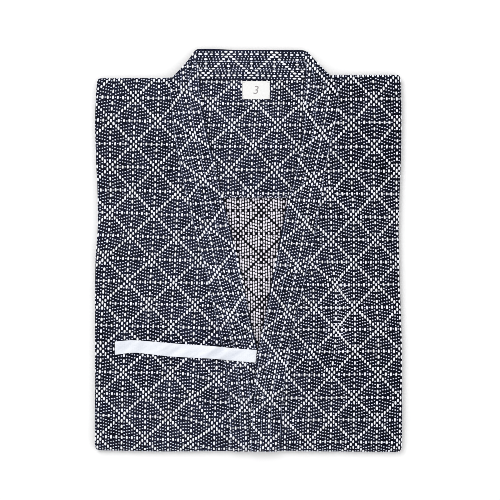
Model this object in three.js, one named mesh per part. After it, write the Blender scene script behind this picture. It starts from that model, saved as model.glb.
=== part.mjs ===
// A kendo jacket of rice-stitch cotton, folded for storage and lying face up.
// Millimetres, +Z up, +Y towards the collar, +X towards the wearer's left.
// The origin is in the middle of the underside, and the cloth rests on Z = 0.
import * as THREE from "three";

// Folded outline
const HALF_WIDTH = 281;
const SHOULDER_Y = 320;
const HEM_FOLD_Y = -371;
const CORNER_ROUND = 4.2;
const CENTRE_SHIFT = 2;

// Cloth and trim thicknesses, and the clearance between pieces that lie on each other
const CLOTH = 1.8;
const COLLAR = 2.8;
const TAPE = 1.2;
const LABEL = 1;
const GAP = 0.45;

// Heights of the undersides, from the floor up
const PILE_TOP = 12;
const BACK_Z = PILE_TOP + GAP;
const YOKE_Z = BACK_Z + CLOTH + GAP;
const FRONT_Z = YOKE_Z;
const YOKE_STEP = CLOTH + GAP;
const OVERLAP_STEP = CLOTH + COLLAR + 2 * GAP;

// Inner yoke: half its width, its hem, its upper edge between and beside the collars,
// and how far the fronts take to come down off it
const YOKE_HALF_WIDTH = 119;
const YOKE_TOP_Y = 318;
const YOKE_SIDE_TOP_Y = 311;
const YOKE_HEM_Y = 97;
const YOKE_EASE = 80;

// The two fronts from the shoulder fold down: collar seam and free edge on each side
const FRONT_LINES = [
  { y: 320, rightSeam: -141, rightEdge: -89.5, leftEdge: 105, leftSeam: 151 },
  { y: 295, rightSeam: -144, rightEdge: -87, leftEdge: 104, leftSeam: 165 },
  { y: 271, rightSeam: -142, rightEdge: -85, leftEdge: 102.5, leftSeam: 167 },
  { y: 231, rightSeam: -138, rightEdge: -79, leftEdge: 100.5, leftSeam: 160 },
  { y: 194, rightSeam: -133, rightEdge: -70, leftEdge: 96, leftSeam: 150 },
  { y: 148, rightSeam: -123.5, rightEdge: -57.5, leftEdge: 87, leftSeam: 142 },
  { y: 97, rightSeam: -113, rightEdge: -46, leftEdge: 73, leftSeam: 134 },
  { y: 47, rightSeam: -100.5, rightEdge: -34.5, leftEdge: 63, leftSeam: 126 },
  { y: 1, rightSeam: -88, rightEdge: -22.5, leftEdge: 54, leftSeam: 117 },
  { y: -45, rightSeam: -77, rightEdge: -11.5, leftEdge: 45, leftSeam: 106 },
  { y: -91, rightSeam: -66.5, rightEdge: -3, leftEdge: 36.5, leftSeam: 95 },
  { y: -137, rightSeam: -56.5, rightEdge: 6, leftEdge: 27.5, leftSeam: 84.5 },
  { y: -173, rightSeam: -49, rightEdge: 16, leftEdge: 19, leftSeam: 76.5 },
  { y: -219, rightSeam: -41, rightEdge: 21.5, leftEdge: 14, leftSeam: 69 },
  { y: -265, rightSeam: -36, rightEdge: 24.5, leftEdge: 8.5, leftSeam: 64 },
  { y: -311, rightSeam: -33.5, rightEdge: 25, leftEdge: 4, leftSeam: 61 },
  { y: -371, rightSeam: -32.5, rightEdge: 25, leftEdge: 1.5, leftSeam: 58.5 },
];

// Collar behind the neck: its lower edge between the fronts and beside them, its free edge,
// its droop, and the places across it of its ends, upper corners and notches for the fronts
const NECK_Y = 314;
const NECK_SIDE_Y = SHOULDER_Y + 2.2;
const COLLAR_TOP_Y = 371;
const COLLAR_DROOP = 7;
const NECK_RIGHT = { end: -131, corner: -97, beside: -92, between: -88, base: -141 };
const NECK_LEFT = { end: 141, corner: 106.5, beside: 105.5, between: 101.5, base: 151 };

// Where the collars of the fronts start to climb onto the collar behind the neck, how
// far they take, and how far their slanting folds stand past it
const CLIMB_Y = 285;
const CLIMB_LENGTH = 29;
const SLANT_PROUD = 1.5;
const SLANT_Y = [329, 342, 355, 366];

// How far the side edges draw in from the straight outline, down the garment
const SIDE_DRAW = [
  { y: 320, right: 5, left: 2 },
  { y: 270, right: 2, left: 3 },
  { y: 220, right: 0, left: 5 },
  { y: 110, right: 3, left: 8 },
  { y: 30, right: 5.5, left: 8 },
  { y: -50, right: 2, left: 4 },
  { y: -100, right: 0, left: 1 },
  { y: -371, right: 1, left: 0 },
];

// Soft folds that run through all the layers: middle, half length and width, turn and height
const SOFT_FOLDS = [
  { x: 160, y: -60, length: 120, width: 34, turn: 1.25, height: 1.4 },
  { x: 135, y: -240, length: 90, width: 30, turn: 1.45, height: 1.1 },
  { x: -205, y: 70, length: 130, width: 42, turn: 1.7, height: 1.2 },
  { x: -150, y: -260, length: 110, width: 40, turn: 0.5, height: 0.9 },
  { x: 225, y: 190, length: 120, width: 38, turn: 1.5, height: 1.1 },
  { x: -60, y: -290, length: 60, width: 24, turn: 1.8, height: 0.9 },
];

// Chest tie: a line down its middle, left to right, and its half width
const TIE_LINE = [
  { x: -239, y: -178, half: 12 },
  { x: -207, y: -181, half: 11 },
  { x: -150, y: -186, half: 12 },
  { x: -90, y: -190, half: 12 },
  { x: -30, y: -193, half: 12.5 },
  { x: 13.5, y: -197, half: 14 },
];

// Size label
const LABEL_BOX = { left: -9.5, right: 40, top: 313.4, bottom: 276 };

const INDIGO = { color: 0x20243c, roughness: 0.9, metalness: 0 };
const REVERSE = { color: 0xb9bcc6, roughness: 0.9, metalness: 0 };
const WHITE_TAPE = { color: 0xe8ecf2, roughness: 0.8, metalness: 0 };

const clamp = (v) => Math.min(1, Math.max(0, v));
const smooth = (v) => clamp(v) ** 2 * (3 - 2 * clamp(v));
const mix = (a, b, t) => a + (b - a) * t;
const spread = (from, to, steps) =>
  Array.from({ length: steps + 1 }, (unused, i) => mix(from, to, i / steps));

// A value from a short table whose rows run down the garment
function along(table, y, column) {
  if (y >= table[0].y) return table[0][column];
  for (let i = 1; i < table.length; i += 1) {
    const above = table[i - 1];
    const below = table[i];
    if (y >= below.y) {
      return mix(above[column], below[column], (above.y - y) / (above.y - below.y));
    }
  }
  return table[table.length - 1][column];
}

// Height that the soft folds add at a place
function foldHeight(x, y) {
  let height = 0;
  for (const fold of SOFT_FOLDS) {
    const dx = x - fold.x;
    const dy = y - fold.y;
    const run = (dx * Math.cos(fold.turn) + dy * Math.sin(fold.turn)) / fold.length;
    const cross = (dy * Math.cos(fold.turn) - dx * Math.sin(fold.turn)) / fold.width;
    height += fold.height * Math.exp(-run * run - cross * cross);
  }
  return height;
}

// How the cloth lies: the side edges draw in, the shoulders slope, and the soft folds rise
function settle(p) {
  const side = p.x < 0 ? "right" : "left";
  const outward = clamp((Math.abs(p.x) - 170) / (HALF_WIDTH - 170));
  const draw = along(SIDE_DRAW, p.y, side) * smooth(outward);
  const shoulder = 3.2 * clamp((p.y - 150) / 170) * outward;
  const low = 2.5 * clamp((-p.y - 250) / 120) * outward;
  const tilt = Math.sign(p.x);
  return new THREE.Vector3(
    p.x - tilt * draw,
    p.y + tilt * shoulder + (p.x < 0 ? low : -0.4 * low),
    p.z + foldHeight(p.x, p.y) * clamp(p.z / PILE_TOP),
  );
}

// How far the fronts are lifted by the yoke under them
function yokeRise(x, y) {
  const across = smooth(1 - (Math.abs(x) - YOKE_HALF_WIDTH - 3) / YOKE_EASE);
  const down = smooth(1 - (YOKE_HEM_Y - 3 - y) / YOKE_EASE);
  return YOKE_STEP * across * down;
}

// How far the left front is lifted by the collar of the right front under it
function overlapRise(x, y) {
  const past = x - along(FRONT_LINES, y, "rightEdge") - 8;
  return OVERLAP_STEP * smooth(1 - past / 34);
}

// Unit normals of a grid of points, facing up on a flat sheet
function gridNormals(grid) {
  return grid.map((row, i) =>
    row.map((point, j) => {
      const ahead = grid[Math.min(i + 1, grid.length - 1)][j];
      const behind = grid[Math.max(i - 1, 0)][j];
      const right = row[Math.min(j + 1, row.length - 1)];
      const left = row[Math.max(j - 1, 0)];
      const down = ahead.clone().sub(behind);
      const across = right.clone().sub(left);
      return down.cross(across).normalize();
    }),
  );
}

// The points of a grid moved out along its normals
function movedOut(grid, distance) {
  const normals = gridNormals(grid);
  return grid.map((row, i) =>
    row.map((point, j) => point.clone().addScaledVector(normals[i][j], distance)),
  );
}

// One closed wall of cloth on an inner grid: rows run down the garment, columns left to right
function clothWall(name, inner, thickness, finish) {
  const rows = inner.length;
  const columns = inner[0].length;
  const outer = movedOut(inner, thickness);
  const positions = [];
  for (const grid of [outer, inner]) {
    for (const row of grid) {
      for (const point of row) positions.push(...settle(point).toArray());
    }
  }
  const top = (i, j) => i * columns + j;
  const under = (i, j) => rows * columns + top(i, j);
  const index = [];
  const quad = (a, b, c, d) => index.push(a, b, c, a, c, d);
  for (let i = 0; i + 1 < rows; i += 1) {
    for (let j = 0; j + 1 < columns; j += 1) {
      quad(top(i, j), top(i + 1, j), top(i + 1, j + 1), top(i, j + 1));
      quad(under(i, j), under(i, j + 1), under(i + 1, j + 1), under(i + 1, j));
    }
    const last = columns - 1;
    quad(under(i, 0), under(i + 1, 0), top(i + 1, 0), top(i, 0));
    quad(top(i, last), top(i + 1, last), under(i + 1, last), under(i, last));
  }
  for (let j = 0; j + 1 < columns; j += 1) {
    const last = rows - 1;
    quad(top(0, j), top(0, j + 1), under(0, j + 1), under(0, j));
    quad(under(last, j), under(last, j + 1), top(last, j + 1), top(last, j));
  }
  return namedMesh(name, positions, index, finish);
}

function namedMesh(name, positions, index, finish) {
  const geometry = new THREE.BufferGeometry();
  geometry.setAttribute("position", new THREE.Float32BufferAttribute(positions, 3));
  geometry.setIndex(index);
  geometry.computeVertexNormals();
  const mesh = new THREE.Mesh(geometry, new THREE.MeshStandardMaterial(finish));
  mesh.name = name;
  return mesh;
}

// Rows of a front: over the shoulder fold, down the flat, and round the fold at the bottom.
// Each row gives its place down the garment and how much of each fold it has turned.
const SHOULDER_RUN = 6;
const SHOULDER_FALL = 4;
const HEM_RUN = 9;
const FLAT_ROWS = 22;
const SHOULDER_TURNS = [1, 0.5];
const HEM_TURNS = [0.3, 0.55, 0.8, 1];

function frontRows() {
  const rows = [];
  const top = SHOULDER_Y - CLOTH - SHOULDER_RUN;
  const bottom = HEM_FOLD_Y + CLOTH + HEM_RUN;
  for (const turn of SHOULDER_TURNS) {
    rows.push({ y: top + SHOULDER_RUN * Math.sin((turn * Math.PI) / 2), shoulder: turn, hem: 0 });
  }
  for (const y of spread(top, bottom, FLAT_ROWS)) rows.push({ y, shoulder: 0, hem: 0 });
  for (const turn of HEM_TURNS) {
    rows.push({ y: bottom - HEM_RUN * Math.sin((turn * Math.PI) / 2), shoulder: 0, hem: turn });
  }
  return rows;
}

const turned = (turn) => 1 - Math.cos((turn * Math.PI) / 2);

// The underside of a front, from its inner edge out to the side fold
const SIDE_RUN = 5;
const SIDE_FALL = 4;
const HEM_CLEAR = 1.2;
const COLLAR_CELLS = 4;
const PANEL_CELLS = 6;
const SIDE_TURNS = [0.5, 1];
const EDGE_INSET = 2;

// Near the bottom fold the right front's hidden edge draws back beside the left front's
const HIDDEN_EDGE_X = 0.8;
const HIDDEN_EDGE_Y = -325;

function frontGrid(side) {
  const sign = side === "right" ? -1 : 1;
  const flatEnd = sign * (HALF_WIDTH - CLOTH - SIDE_RUN);
  const grid = frontRows().map((row) => {
    const hemward = smooth((HIDDEN_EDGE_Y - row.y) / 25);
    const seam = along(FRONT_LINES, row.y, `${side}Seam`);
    let edge = along(FRONT_LINES, row.y, `${side}Edge`) + sign * EDGE_INSET;
    if (side === "right") edge = mix(edge, HIDDEN_EDGE_X - EDGE_INSET, hemward);
    const places = [];
    for (const x of spread(edge, seam, COLLAR_CELLS).slice(0, -1)) places.push({ x, turn: 0 });
    for (const x of spread(seam, flatEnd, PANEL_CELLS)) places.push({ x, turn: 0 });
    for (const turn of SIDE_TURNS) {
      places.push({ x: flatEnd + sign * SIDE_RUN * Math.sin((turn * Math.PI) / 2), turn });
    }
    return places.map(({ x, turn }) => frontPoint(side, row, x, turn));
  });
  return side === "right" ? grid.map((row) => row.reverse()) : grid;
}

function frontPoint(side, row, x, sideTurn) {
  const sign = Math.sign(x) || 1;
  let z = FRONT_Z + yokeRise(x, row.y);
  if (side === "left") z = Math.max(z, FRONT_Z + overlapRise(x, row.y));
  const fall = Math.max(
    SIDE_FALL * turned(sideTurn),
    SHOULDER_FALL * turned(row.shoulder),
    (z - HEM_CLEAR) * turned(row.hem),
  );
  const corner = CORNER_ROUND * sideTurn * Math.max(row.shoulder, row.hem);
  const endward = row.hem > 0 ? 1 : -1;
  return new THREE.Vector3(
    x - sign * corner,
    row.y + endward * corner,
    z - fall,
  );
}

// Place across the slanting fold at one end of the neck collar
function slantX(neck, y) {
  return mix(neck.base, neck.corner, (y - SHOULDER_Y) / (COLLAR_TOP_Y - SHOULDER_Y));
}

// Underside height of the collar behind the neck, which droops past the shoulder fold
function neckCollarZ(y) {
  const past = (y - YOKE_TOP_Y) / (COLLAR_TOP_Y - YOKE_TOP_Y);
  return YOKE_Z + CLOTH + GAP - COLLAR_DROOP * smooth(past);
}

// The collar down a front lies on the front's own outer points, moved out, and runs on past
// the shoulder over the collar behind the neck, to the slanting fold where it turns back.
function collarGrid(side, frontInner) {
  const sign = side === "right" ? -1 : 1;
  const neck = side === "right" ? NECK_RIGHT : NECK_LEFT;
  const overNeck = (y) => neckCollarZ(y) + COLLAR + 1.4 * GAP;
  const lying = movedOut(movedOut(frontInner, CLOTH), GAP);
  const down = lying.slice(SHOULDER_TURNS.length).map((row) => {
    const fromEdge = side === "right" ? row.slice().reverse() : row.slice();
    const strip = fromEdge.slice(0, COLLAR_CELLS + 1).map((point) => point.clone());
    const outward = strip[0].clone().sub(strip[1]).normalize();
    strip[0].addScaledVector(outward, EDGE_INSET);
    for (const point of strip) {
      point.z = mix(point.z, overNeck(point.y), smooth((point.y - CLIMB_Y) / CLIMB_LENGTH));
    }
    return strip;
  });
  const above = SLANT_Y.map((y) => {
    const edge = along(FRONT_LINES, SHOULDER_Y, `${side}Edge`);
    const free = mix(edge, neck.corner, smooth((y - SHOULDER_Y) / (COLLAR_TOP_Y - SHOULDER_Y)));
    const outer = slantX(neck, y) + sign * SLANT_PROUD;
    return spread(free, outer, COLLAR_CELLS).map((x) => new THREE.Vector3(x, y, overNeck(y)));
  });
  const whole = [...above.reverse(), ...down];
  return side === "right" ? whole.map((row) => row.reverse()) : whole;
}

function neckCollarGrid() {
  const columns = [
    ...spread(NECK_RIGHT.end, NECK_RIGHT.corner, 3),
    NECK_RIGHT.beside,
    ...spread(NECK_RIGHT.between, NECK_LEFT.between, 5),
    NECK_LEFT.beside,
    ...spread(NECK_LEFT.corner, NECK_LEFT.end, 3),
  ];
  const steps = 6;
  return spread(0, 1, steps).map((down) => columns.map((x) => {
    const neck = x < 0 ? NECK_RIGHT : NECK_LEFT;
    const slope = clamp((x - neck.corner) / (neck.base - neck.corner));
    const high = mix(COLLAR_TOP_Y - 1, SHOULDER_Y, slope);
    const between = x >= NECK_RIGHT.between && x <= NECK_LEFT.between;
    const y = mix(high, between ? NECK_Y : NECK_SIDE_Y, down);
    return new THREE.Vector3(x, y, neckCollarZ(y));
  }));
}

// A flat sheet at one height
function flatGrid({ left, right, top, bottom }, z, columns, rows) {
  return spread(top, bottom, rows).map((y) =>
    spread(left, right, columns).map((x) => new THREE.Vector3(x, y, z)),
  );
}

// Inner yoke: it reaches under the neck collar only between the two fronts
function yokeGrid() {
  const columns = [
    ...spread(-YOKE_HALF_WIDTH, NECK_RIGHT.beside + 2, 2),
    ...spread(NECK_RIGHT.between + 2, NECK_LEFT.between, 5),
    ...spread(NECK_LEFT.beside, YOKE_HALF_WIDTH, 1),
  ];
  const rows = 8;
  return spread(0, 1, rows).map((down) => columns.map((x) => {
    const between = x > NECK_RIGHT.beside + 2 && x <= NECK_LEFT.between;
    const high = between ? YOKE_TOP_Y : YOKE_SIDE_TOP_Y;
    return new THREE.Vector3(x, mix(high, YOKE_HEM_Y, down), YOKE_Z);
  }));
}

// Chest tie: it lies on the right front, climbs over that front's collar and ends, leaning
// like the edge, beside the left front
const TIE_CELLS = 22;
const TIE_CLIMB_START = 19;
const TIE_CLIMB_LENGTH = 13;
const TIE_END_LEAN = 0.12;

function tieGrid() {
  const grid = [[], [], []];
  spread(0, TIE_LINE.length - 1, TIE_CELLS).forEach((t, cell) => {
    const k = Math.min(Math.floor(t), TIE_LINE.length - 2);
    const here = (column) => mix(TIE_LINE[k][column], TIE_LINE[k + 1][column], t - k);
    [here("half"), 0, -here("half")].forEach((offset, row) => {
      const y = here("y") + offset;
      const seam = along(FRONT_LINES, y, "rightSeam");
      const climb = smooth((here("x") - seam + TIE_CLIMB_START) / TIE_CLIMB_LENGTH);
      const z = FRONT_Z + CLOTH + 1.2 * GAP + (COLLAR + GAP) * climb;
      const lean = cell === TIE_CELLS ? offset * TIE_END_LEAN : 0;
      grid[row].push(new THREE.Vector3(here("x") + lean, y, z));
    });
  });
  return grid;
}

// The hidden layers: sleeves folded behind and skirt folded up, one solid with a flat
// underside whose edge shows the fold of each layer.
const LAYERS = [
  { low: 7.2, high: 10, inset: 5.2, wander: 1.2, phase: 4.2 },
  { low: 3.7, high: 7.2, inset: 4.6, wander: 1.4, phase: 2.1 },
  { low: 0, high: 3.7, inset: 6.2, wander: 2.8, phase: 0.4 },
];
const LAYER_TURNS = [
  { share: 0.12, tuck: 1.7 },
  { share: 0.5, tuck: 0 },
  { share: 0.88, tuck: 1.7 },
];
const TOP_INSET = 9;
const FLOOR_TUCK = 2.2;

function hiddenLayers() {
  const columns = 18;
  const rows = 22;
  const middle = (SHOULDER_Y + HEM_FOLD_Y) / 2;
  const half = (SHOULDER_Y - HEM_FOLD_Y) / 2;
  const place = (i, j, inset, z) => {
    const across = (2 * j) / columns - 1;
    const up = 1 - (2 * i) / rows;
    const corner = Math.abs(across) === 1 && Math.abs(up) === 1 ? CORNER_ROUND : 0;
    return new THREE.Vector3(
      across * (HALF_WIDTH - inset - corner),
      middle + up * (half - inset - corner),
      z,
    );
  };
  const positions = [];
  const index = [];
  const quad = (a, b, c, d) => index.push(a, b, c, a, c, d);
  const top = (i, j) => i * (columns + 1) + j;
  for (let i = 0; i <= rows; i += 1) {
    for (let j = 0; j <= columns; j += 1) {
      const edge = i === 0 || j === 0 || i === rows || j === columns;
      const z = PILE_TOP - (edge ? 1 : 0.7) * GAP;
      positions.push(...settle(place(i, j, TOP_INSET, z)).toArray());
      if (i < rows && j < columns) {
        quad(top(i, j), top(i + 1, j), top(i + 1, j + 1), top(i, j + 1));
      }
    }
  }
  const boundary = [];
  for (let i = 0; i < rows; i += 1) boundary.push([i, 0]);
  for (let j = 0; j < columns; j += 1) boundary.push([rows, j]);
  for (let i = rows; i > 0; i -= 1) boundary.push([i, columns]);
  for (let j = columns; j > 0; j -= 1) boundary.push([0, j]);
  let above = boundary.map(([i, j]) => top(i, j));
  for (const { z, inset } of layerRings(boundary.length)) {
    const first = positions.length / 3;
    boundary.forEach(([i, j], n) => {
      positions.push(...settle(place(i, j, inset(n), z)).toArray());
    });
    const below = boundary.map((unused, n) => first + n);
    below.forEach((start, n) => {
      const next = (n + 1) % below.length;
      quad(above[n], start, below[next], above[next]);
    });
    above = below;
  }
  const centre = positions.length / 3;
  positions.push(0, middle, 0);
  above.forEach((start, n) => index.push(start, centre, above[(n + 1) % above.length]));
  return namedMesh("folded_layers", positions, index, INDIGO);
}

// The rings round the edge, from the top layer down to the floor
function layerRings(count) {
  const rings = [{ z: LAYERS[0].high + 1.2, inset: () => TOP_INSET - 1.8 }];
  for (const layer of LAYERS) {
    for (const { share, tuck } of LAYER_TURNS) {
      const inset = (n) => layerInset(layer, n, count) + tuck;
      rings.push({ z: mix(layer.high, layer.low, share), inset });
    }
  }
  const lowest = LAYERS[LAYERS.length - 1];
  rings.push({ z: 0, inset: (n) => layerInset(lowest, n, count) + FLOOR_TUCK });
  return rings;
}

// How far in from the outline a layer's fold lies, which wanders round the edge
function layerInset(layer, n, count) {
  const turn = (2 * Math.PI * n) / count;
  const wave = 0.6 * Math.sin(2 * turn + layer.phase) + 0.4 * Math.sin(5 * turn);
  return layer.inset + layer.wander * wave;
}

const jacket = new THREE.Group();
const rightFront = frontGrid("right");
const leftFront = frontGrid("left");
const backOutline = {
  left: -(HALF_WIDTH - CLOTH - SIDE_RUN - 0.5),
  right: HALF_WIDTH - CLOTH - SIDE_RUN - 0.5,
  top: SHOULDER_Y - CLOTH - SHOULDER_RUN - 0.5,
  bottom: HEM_FOLD_Y + CLOTH + HEM_RUN,
};

jacket.add(hiddenLayers());
jacket.add(clothWall("back_panel", flatGrid(backOutline, BACK_Z, 16, 20), CLOTH, REVERSE));
jacket.add(clothWall("inner_yoke", yokeGrid(), CLOTH, INDIGO));
jacket.add(clothWall("front_right", rightFront, CLOTH, INDIGO));
jacket.add(clothWall("front_left", leftFront, CLOTH, INDIGO));
jacket.add(clothWall("collar_back", neckCollarGrid(), COLLAR, INDIGO));
jacket.add(clothWall("collar_right", collarGrid("right", rightFront), COLLAR, INDIGO));
jacket.add(clothWall("collar_left", collarGrid("left", leftFront), COLLAR, INDIGO));
jacket.add(clothWall("chest_tie", tieGrid(), TAPE, WHITE_TAPE));
jacket.add(clothWall("size_label", flatGrid(LABEL_BOX, YOKE_Z + CLOTH + GAP, 3, 2), LABEL, WHITE_TAPE));

jacket.position.y = CENTRE_SHIFT;

export default jacket;
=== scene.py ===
# A kendo jacket of rice-stitch cotton, folded for storage and lying face up.
# Lengths are millimetres in the cloth's own frame, and become metres when a mesh is filled.
import math
from functools import partial

import bmesh
import bpy
import numpy as np
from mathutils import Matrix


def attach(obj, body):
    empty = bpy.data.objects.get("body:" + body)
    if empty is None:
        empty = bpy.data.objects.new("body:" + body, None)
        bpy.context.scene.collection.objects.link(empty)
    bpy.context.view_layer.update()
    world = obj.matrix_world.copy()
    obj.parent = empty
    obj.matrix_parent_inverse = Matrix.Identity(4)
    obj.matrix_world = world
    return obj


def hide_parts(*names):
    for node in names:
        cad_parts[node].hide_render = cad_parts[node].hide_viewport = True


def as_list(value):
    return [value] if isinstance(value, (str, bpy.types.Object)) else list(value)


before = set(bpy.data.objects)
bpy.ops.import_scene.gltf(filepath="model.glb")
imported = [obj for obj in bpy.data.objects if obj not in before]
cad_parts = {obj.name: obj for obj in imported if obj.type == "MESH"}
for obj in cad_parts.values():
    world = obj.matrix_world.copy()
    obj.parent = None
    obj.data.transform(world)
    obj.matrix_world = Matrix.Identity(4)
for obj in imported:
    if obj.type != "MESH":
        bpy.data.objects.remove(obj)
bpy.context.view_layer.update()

# Camera straight above, as far off as a studio camera with a long lens, in metres
VIEW_WIDTH = 0.9194
VIEW_MIDDLE = (0.0033, 0.0033)
CLOTH_TOP = 0.0165
CAMERA_HEIGHT = 3.2
CAMERA_SENSOR = 36

camera_data = bpy.data.cameras.new("camera")
camera_data.sensor_width = CAMERA_SENSOR
camera_data.lens = CAMERA_SENSOR * (CAMERA_HEIGHT - CLOTH_TOP) / VIEW_WIDTH
camera = bpy.data.objects.new("camera", camera_data)
camera.location = (*VIEW_MIDDLE, CAMERA_HEIGHT)
bpy.context.scene.collection.objects.link(camera)
bpy.context.scene.camera = camera

# The folded outline and the heights of the layers
HALF_WIDTH = 281
SHOULDER_Y = 320
HEM_Y = -371
CENTRE_SHIFT = 2
CLOTH, COLLAR, GAP = 1.8, 2.8, 0.45
WALL = 1.3
PILE_TOP = 12
BACK_Z = PILE_TOP + GAP
FRONT_Z = YOKE_Z = BACK_Z + CLOTH + GAP
YOKE_STEP = CLOTH + GAP
OVERLAP_STEP = CLOTH + COLLAR + 2 * GAP
# How far the folds at the sides, shoulders and hem run out, and where the flat cloth ends
SIDE_RUN, TOP_RUN, HEM_RUN = 5, 6, 9
SIDE_FLAT = HALF_WIDTH - CLOTH - SIDE_RUN
TOP_FLAT = SHOULDER_Y - CLOTH - TOP_RUN
HEM_FLAT = HEM_Y + CLOTH + HEM_RUN
COLLAR_TOP = 371
NECK_LOW = 314
BAND_UNDER = CLOTH + GAP

# The fronts from the shoulder down: y, then right seam, right edge, left edge, left seam
FRONT_LINES = np.array([
    (320, -141, -89.5, 105, 151), (295, -144, -87, 104, 165), (271, -142, -85, 102.5, 167),
    (231, -138, -79, 100.5, 160), (194, -133, -70, 96, 150), (148, -123.5, -57.5, 87, 142),
    (97, -113, -46, 73, 134), (47, -100.5, -34.5, 63, 126), (1, -88, -22.5, 54, 117),
    (-45, -77, -11.5, 45, 106), (-91, -66.5, -3, 36.5, 95), (-137, -56.5, 6, 27.5, 84.5),
    (-173, -49, 16, 19, 76.5), (-219, -41, 21.5, 14, 69), (-265, -36, 24.5, 8.5, 64),
    (-311, -33.5, 25, 4, 61), (-371, -32.5, 25, 1.5, 58.5),
])
# How far the side edges draw in: y, right, left, from a place part way out
DRAW_FROM = 170
SIDE_DRAW = np.array([
    (320, 3.2, 0.7), (298, 0.6, -0.5), (262, -1.1, -1.7), (225, -1.6, -1.6), (187, -0.3, -1.3),
    (154, 0.7, -0.2), (121, 2.7, 1.1), (88, 3.4, 2.3), (55, 3.8, 3.2), (33, 3, 3.5),
    (-11, -0.7, 2.2), (-56, -1.4, 1.7), (-100, -1.5, -0.3), (-166, -1.5, -2.3),
    (-232, -1.3, -2.8), (-310, -2, -3), (-371, -1.8, -1.8),
])
# How much each shoulder rises, from beside the neck out, and each lower corner
SHOULDER_RISE = {"right": -1.7, "left": 4.4}
CORNER_RISE = {"right": 2.5, "left": -1.0}
HEM_LIFT = 1.5
# Soft folds through all the layers: x, y, half length, half width, turn, height
SOFT_FOLDS = [
    (160, -60, 120, 34, 1.25, 1.4), (135, -240, 90, 30, 1.45, 1.1),
    (-205, 70, 130, 42, 1.7, 1.2), (-150, -260, 110, 40, 0.5, 0.9),
    (225, 190, 120, 38, 1.5, 1.1), (-60, -290, 60, 24, 1.8, 0.9),
]
# Small creases in a front alone: x, y, half length, half width, turn, height
CREASES = {
    "right": [
        (-52, -270, 26, 5, 1.9, 0.8), (-44, -292, 22, 4, 1.2, -0.6),
        (-58, -310, 24, 5, 2.3, 0.7), (-180, -330, 60, 9, 0.15, 0.5),
        (-240, 150, 50, 8, 1.2, 0.5), (-130, 60, 40, 8, 1.9, 0.5),
    ],
    "left": [
        (163, -80, 46, 5, 1.5, 0.4), (158, -150, 30, 5, 1.0, 0.4),
        (168, -225, 26, 5, 1.15, 0.35), (173, -80, 46, 5, 1.5, -0.3),
        (110, -300, 34, 6, 2.2, 0.7), (220, -330, 60, 9, 2.9, 0.5),
        (240, 60, 60, 10, 1.4, 0.6),
    ],
}


def smooth(v):
    v = np.clip(v, 0, 1)
    return v * v * (3 - 2 * v)


def eased(value, start, end):
    """0 up to start and 1 from end on, with an easy curve between; end may come first."""
    return smooth((value - start) / (end - start))


def ramp(value, start, end):
    """0 up to start and 1 from end on, straight between."""
    return np.clip((value - start) / (end - start), 0, 1)


def mix(a, b, t):
    return a + (b - a) * t


def softened(table, column, reach=9):
    """A line from a table, as a function of y, with its corners softened."""
    ys = np.arange(-460.0, 460.0)
    values = np.interp(ys, table[::-1, 0], table[::-1, column])
    kernel = np.exp(-((np.arange(-30, 31) / reach) ** 2))
    padded = np.pad(values, 30, mode="edge")
    values = np.convolve(padded, kernel / kernel.sum(), mode="valid")
    return lambda y: np.interp(y, ys, values)


SEAM = {"right": softened(FRONT_LINES, 1), "left": softened(FRONT_LINES, 4)}
EDGE = {"right": softened(FRONT_LINES, 2), "left": softened(FRONT_LINES, 3)}
DRAW = {"right": softened(SIDE_DRAW, 1), "left": softened(SIDE_DRAW, 2)}
SIGN = {"right": -1, "left": 1}


def swell(x, y, folds):
    """Height that soft folds add."""
    height = 0
    for fold_x, fold_y, length, width, turn, rise in folds:
        dx, dy = x - fold_x, y - fold_y
        run = (dx * math.cos(turn) + dy * math.sin(turn)) / length
        cross = (dy * math.cos(turn) - dx * math.sin(turn)) / width
        height = height + rise * np.exp(-run * run - cross * cross)
    return height


def settle(x, y, z):
    """The side edges draw in, one shoulder lies higher, and the soft folds rise."""
    right = x < 0
    outward = ramp(np.abs(x), DRAW_FROM, HALF_WIDTH)
    draw = np.where(right, DRAW["right"](y), DRAW["left"](y)) * smooth(outward)
    beside_neck = eased(np.abs(x), 125, 165) * ramp(y, 150, SHOULDER_Y)
    shoulder = np.where(right, *SHOULDER_RISE.values()) * beside_neck
    corner = np.where(right, *CORNER_RISE.values()) * ramp(y, -250, -370) * outward
    hem = HEM_LIFT * ramp(y, -320, -370) * np.exp(-(((x - 5) / 95) ** 2))
    z = z + swell(x, y, SOFT_FOLDS) * ramp(z, 0, PILE_TOP)
    y = y + shoulder + hem + corner + CENTRE_SHIFT
    return np.stack([x - np.sign(x) * draw, y, z], axis=-1)


def yoke_rise(x, y):
    """How much the yoke below lifts a front."""
    return YOKE_STEP * eased(np.abs(x), 202, 122) * eased(y, 14, 94)


def front_height(side, x, y):
    """Underside of a front on the flat, before the soft folds."""
    rise = yoke_rise(x, y)
    if side == "left":
        past = x - EDGE["right"](y) - 8
        rise = np.maximum(rise, OVERLAP_STEP * eased(past, 34, 0))
    ripple = 0.22 * np.sin(x / 13 + 1.7 * np.sin(y / 47)) * np.sin(y / 19 + x / 61)
    return FRONT_Z + rise + swell(x, y, CREASES[side]) + np.maximum(ripple, -0.15)


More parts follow.
